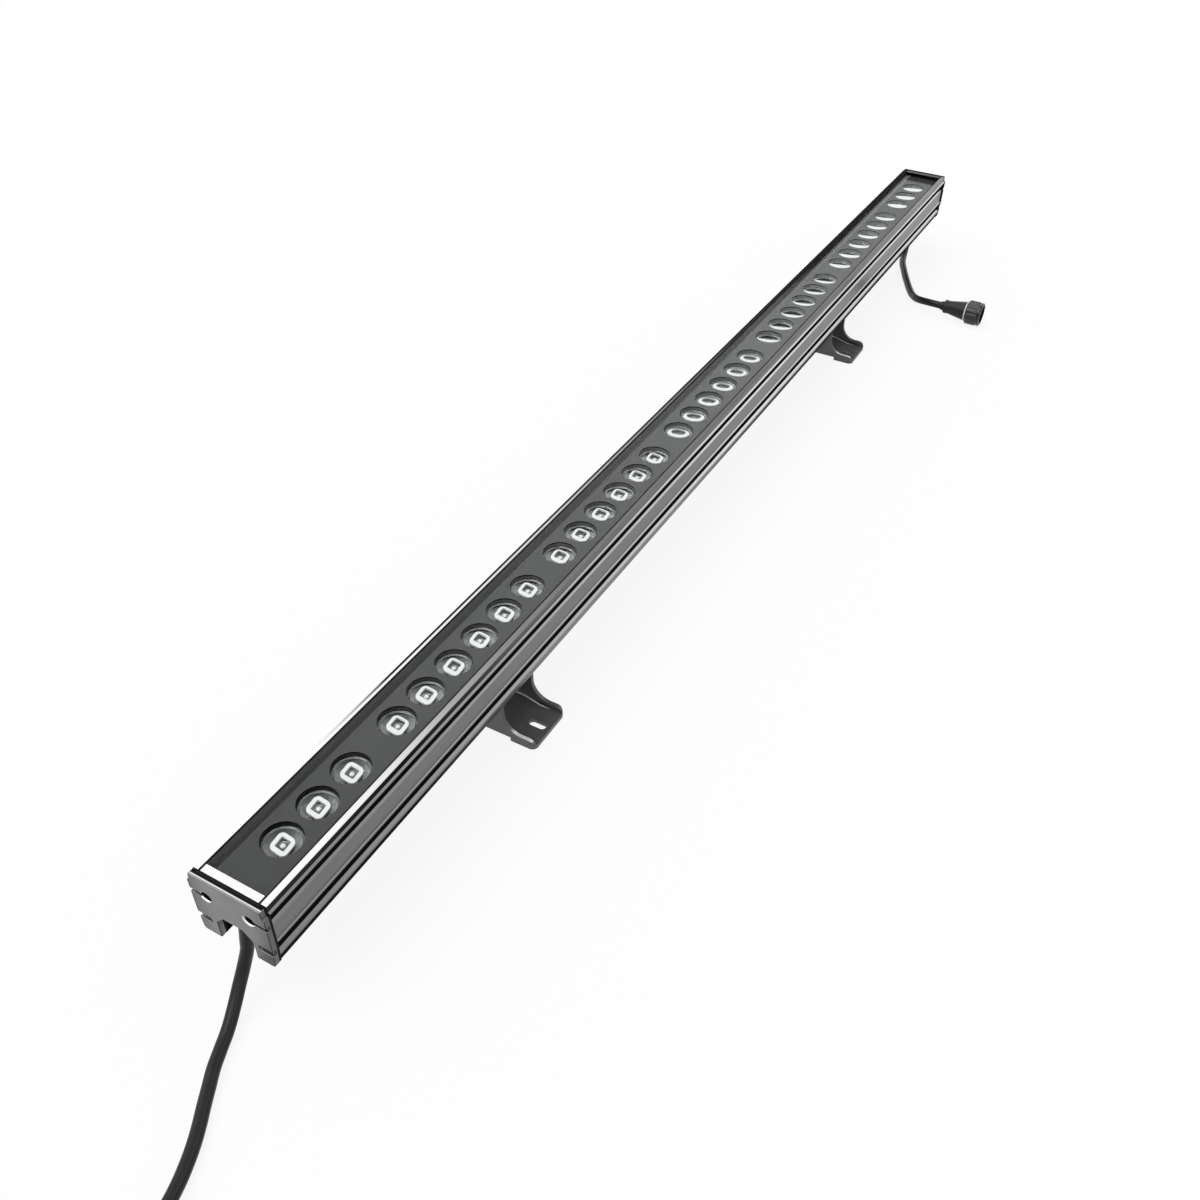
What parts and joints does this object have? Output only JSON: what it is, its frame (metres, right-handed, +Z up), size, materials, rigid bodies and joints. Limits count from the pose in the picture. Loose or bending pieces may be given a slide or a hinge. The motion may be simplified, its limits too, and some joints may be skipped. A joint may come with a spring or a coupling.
{
  "type": "linear wall washer light",
  "caption": "Linear outdoor wall washer light with a row of lenses under glass, tilting and sliding feet, and leads with screw connectors.",
  "frame": {"origin": "middle of the lamp bar's length and width, on the surface that the feet stand on; the leads are not counted", "axes": "+X along the lamp bar towards the outlet lead, +Y across it, +Z up out of the glass"},
  "size_m": [1.152, 0.1474, 0.0755],
  "materials": {
    "body_aluminium": "anodised dark grey",
    "cap_metal": "satin grey",
    "gasket_rubber": "matt black silicone",
    "black_screws": "black finish",
    "cover_glass": "clear toughened",
    "white_strip": "white",
    "grey_strip": "grey",
    "mask_plate": "matt dark grey",
    "lens_acrylic": "clear moulded",
    "board_laminate": "white printed board",
    "emitter_package": "white package",
    "board_components": "black",
    "zinc_steel": "zinc plated",
    "wire_insulation": "red and black",
    "lead_rubber": "black, slight sheen",
    "connector_plastic": "black moulded",
    "contact_brass": "plated",
    "seal_rubber": "orange silicone",
    "bracket_paint": "dark grey powder coat"
  },
  "bodies": {
    "lamp_bar": {"housing_profile": "body_aluminium", "end_cap_near": "cap_metal", "end_cap_far": "cap_metal", "end_gasket_near": "gasket_rubber", "end_gasket_far": "gasket_rubber", "end_cap_screws_near": "black_screws", "end_cap_screws_far": "black_screws", "glass_cover": "cover_glass", "glass_seals": "gasket_rubber", "white_end_strip_near": "white_strip", "grey_end_strip_far": "grey_strip", "lens_mask": "mask_plate", "lens_group_1": "lens_acrylic", "lens_group_2": "lens_acrylic", "lens_group_3": "lens_acrylic", "lens_group_4": "lens_acrylic", "lens_group_5": "lens_acrylic", "lens_group_6": "lens_acrylic", "lens_group_7": "lens_acrylic", "led_board_near": "board_laminate", "led_board_far": "board_laminate", "led_emitters_near": "emitter_package", "led_emitters_far": "emitter_package", "board_parts_near": "board_components", "board_parts_far": "board_components", "board_screws": "zinc_steel", "board_link_wires": "wire_insulation", "inlet_wires": "wire_insulation", "outlet_wires": "wire_insulation", "inlet_strain_relief": "lead_rubber", "outlet_strain_relief": "lead_rubber", "inlet_gland_nut": "connector_plastic", "outlet_gland_nut": "connector_plastic", "inlet_lead": "lead_rubber", "inlet_connector": "connector_plastic", "inlet_pins": "contact_brass", "inlet_seal": "seal_rubber", "outlet_lead": "lead_rubber", "outlet_connector": "connector_plastic", "outlet_contacts": "contact_brass"},
    "near_saddle": {"saddle_near": "bracket_paint", "slide_bolt_near": "zinc_steel", "slide_washer_near": "zinc_steel", "slide_nut_near": "zinc_steel"},
    "near_foot": {"foot_near": "bracket_paint", "pivot_bolt_near": "zinc_steel", "pivot_washers_near": "zinc_steel", "pivot_nut_near": "zinc_steel"},
    "far_saddle": {"saddle_far": "bracket_paint", "slide_bolt_far": "zinc_steel", "slide_washer_far": "zinc_steel", "slide_nut_far": "zinc_steel"},
    "far_foot": {"foot_far": "bracket_paint", "pivot_bolt_far": "zinc_steel", "pivot_washers_far": "zinc_steel", "pivot_nut_far": "zinc_steel"},
    "outlet_collar": {"outlet_collar": "connector_plastic"}
  },
  "joints": [
    {"name": "near_saddle_slide", "type": "slide", "parent": "lamp_bar", "child": "near_saddle", "axis": [1, 0, 0], "range_m": [-0.12, 0.15]},
    {"name": "near_foot_tilt", "type": "hinge", "parent": "near_saddle", "child": "near_foot", "pos_m": [-0.29, 0, 0.021], "axis": [1, 0, 0], "range_deg": [-60, 60]},
    {"name": "far_saddle_slide", "type": "slide", "parent": "lamp_bar", "child": "far_saddle", "axis": [1, 0, 0], "range_m": [-0.15, 0.1]},
    {"name": "far_foot_tilt", "type": "hinge", "parent": "far_saddle", "child": "far_foot", "pos_m": [0.236, 0, 0.021], "axis": [1, 0, 0], "range_deg": [-60, 60]},
    {"name": "outlet_collar_spin", "type": "hinge", "parent": "lamp_bar", "child": "outlet_collar", "pos_m": [0.352, -0.105, 0.01075], "axis": [0, -1, 0], "continuous": true}
  ]
}
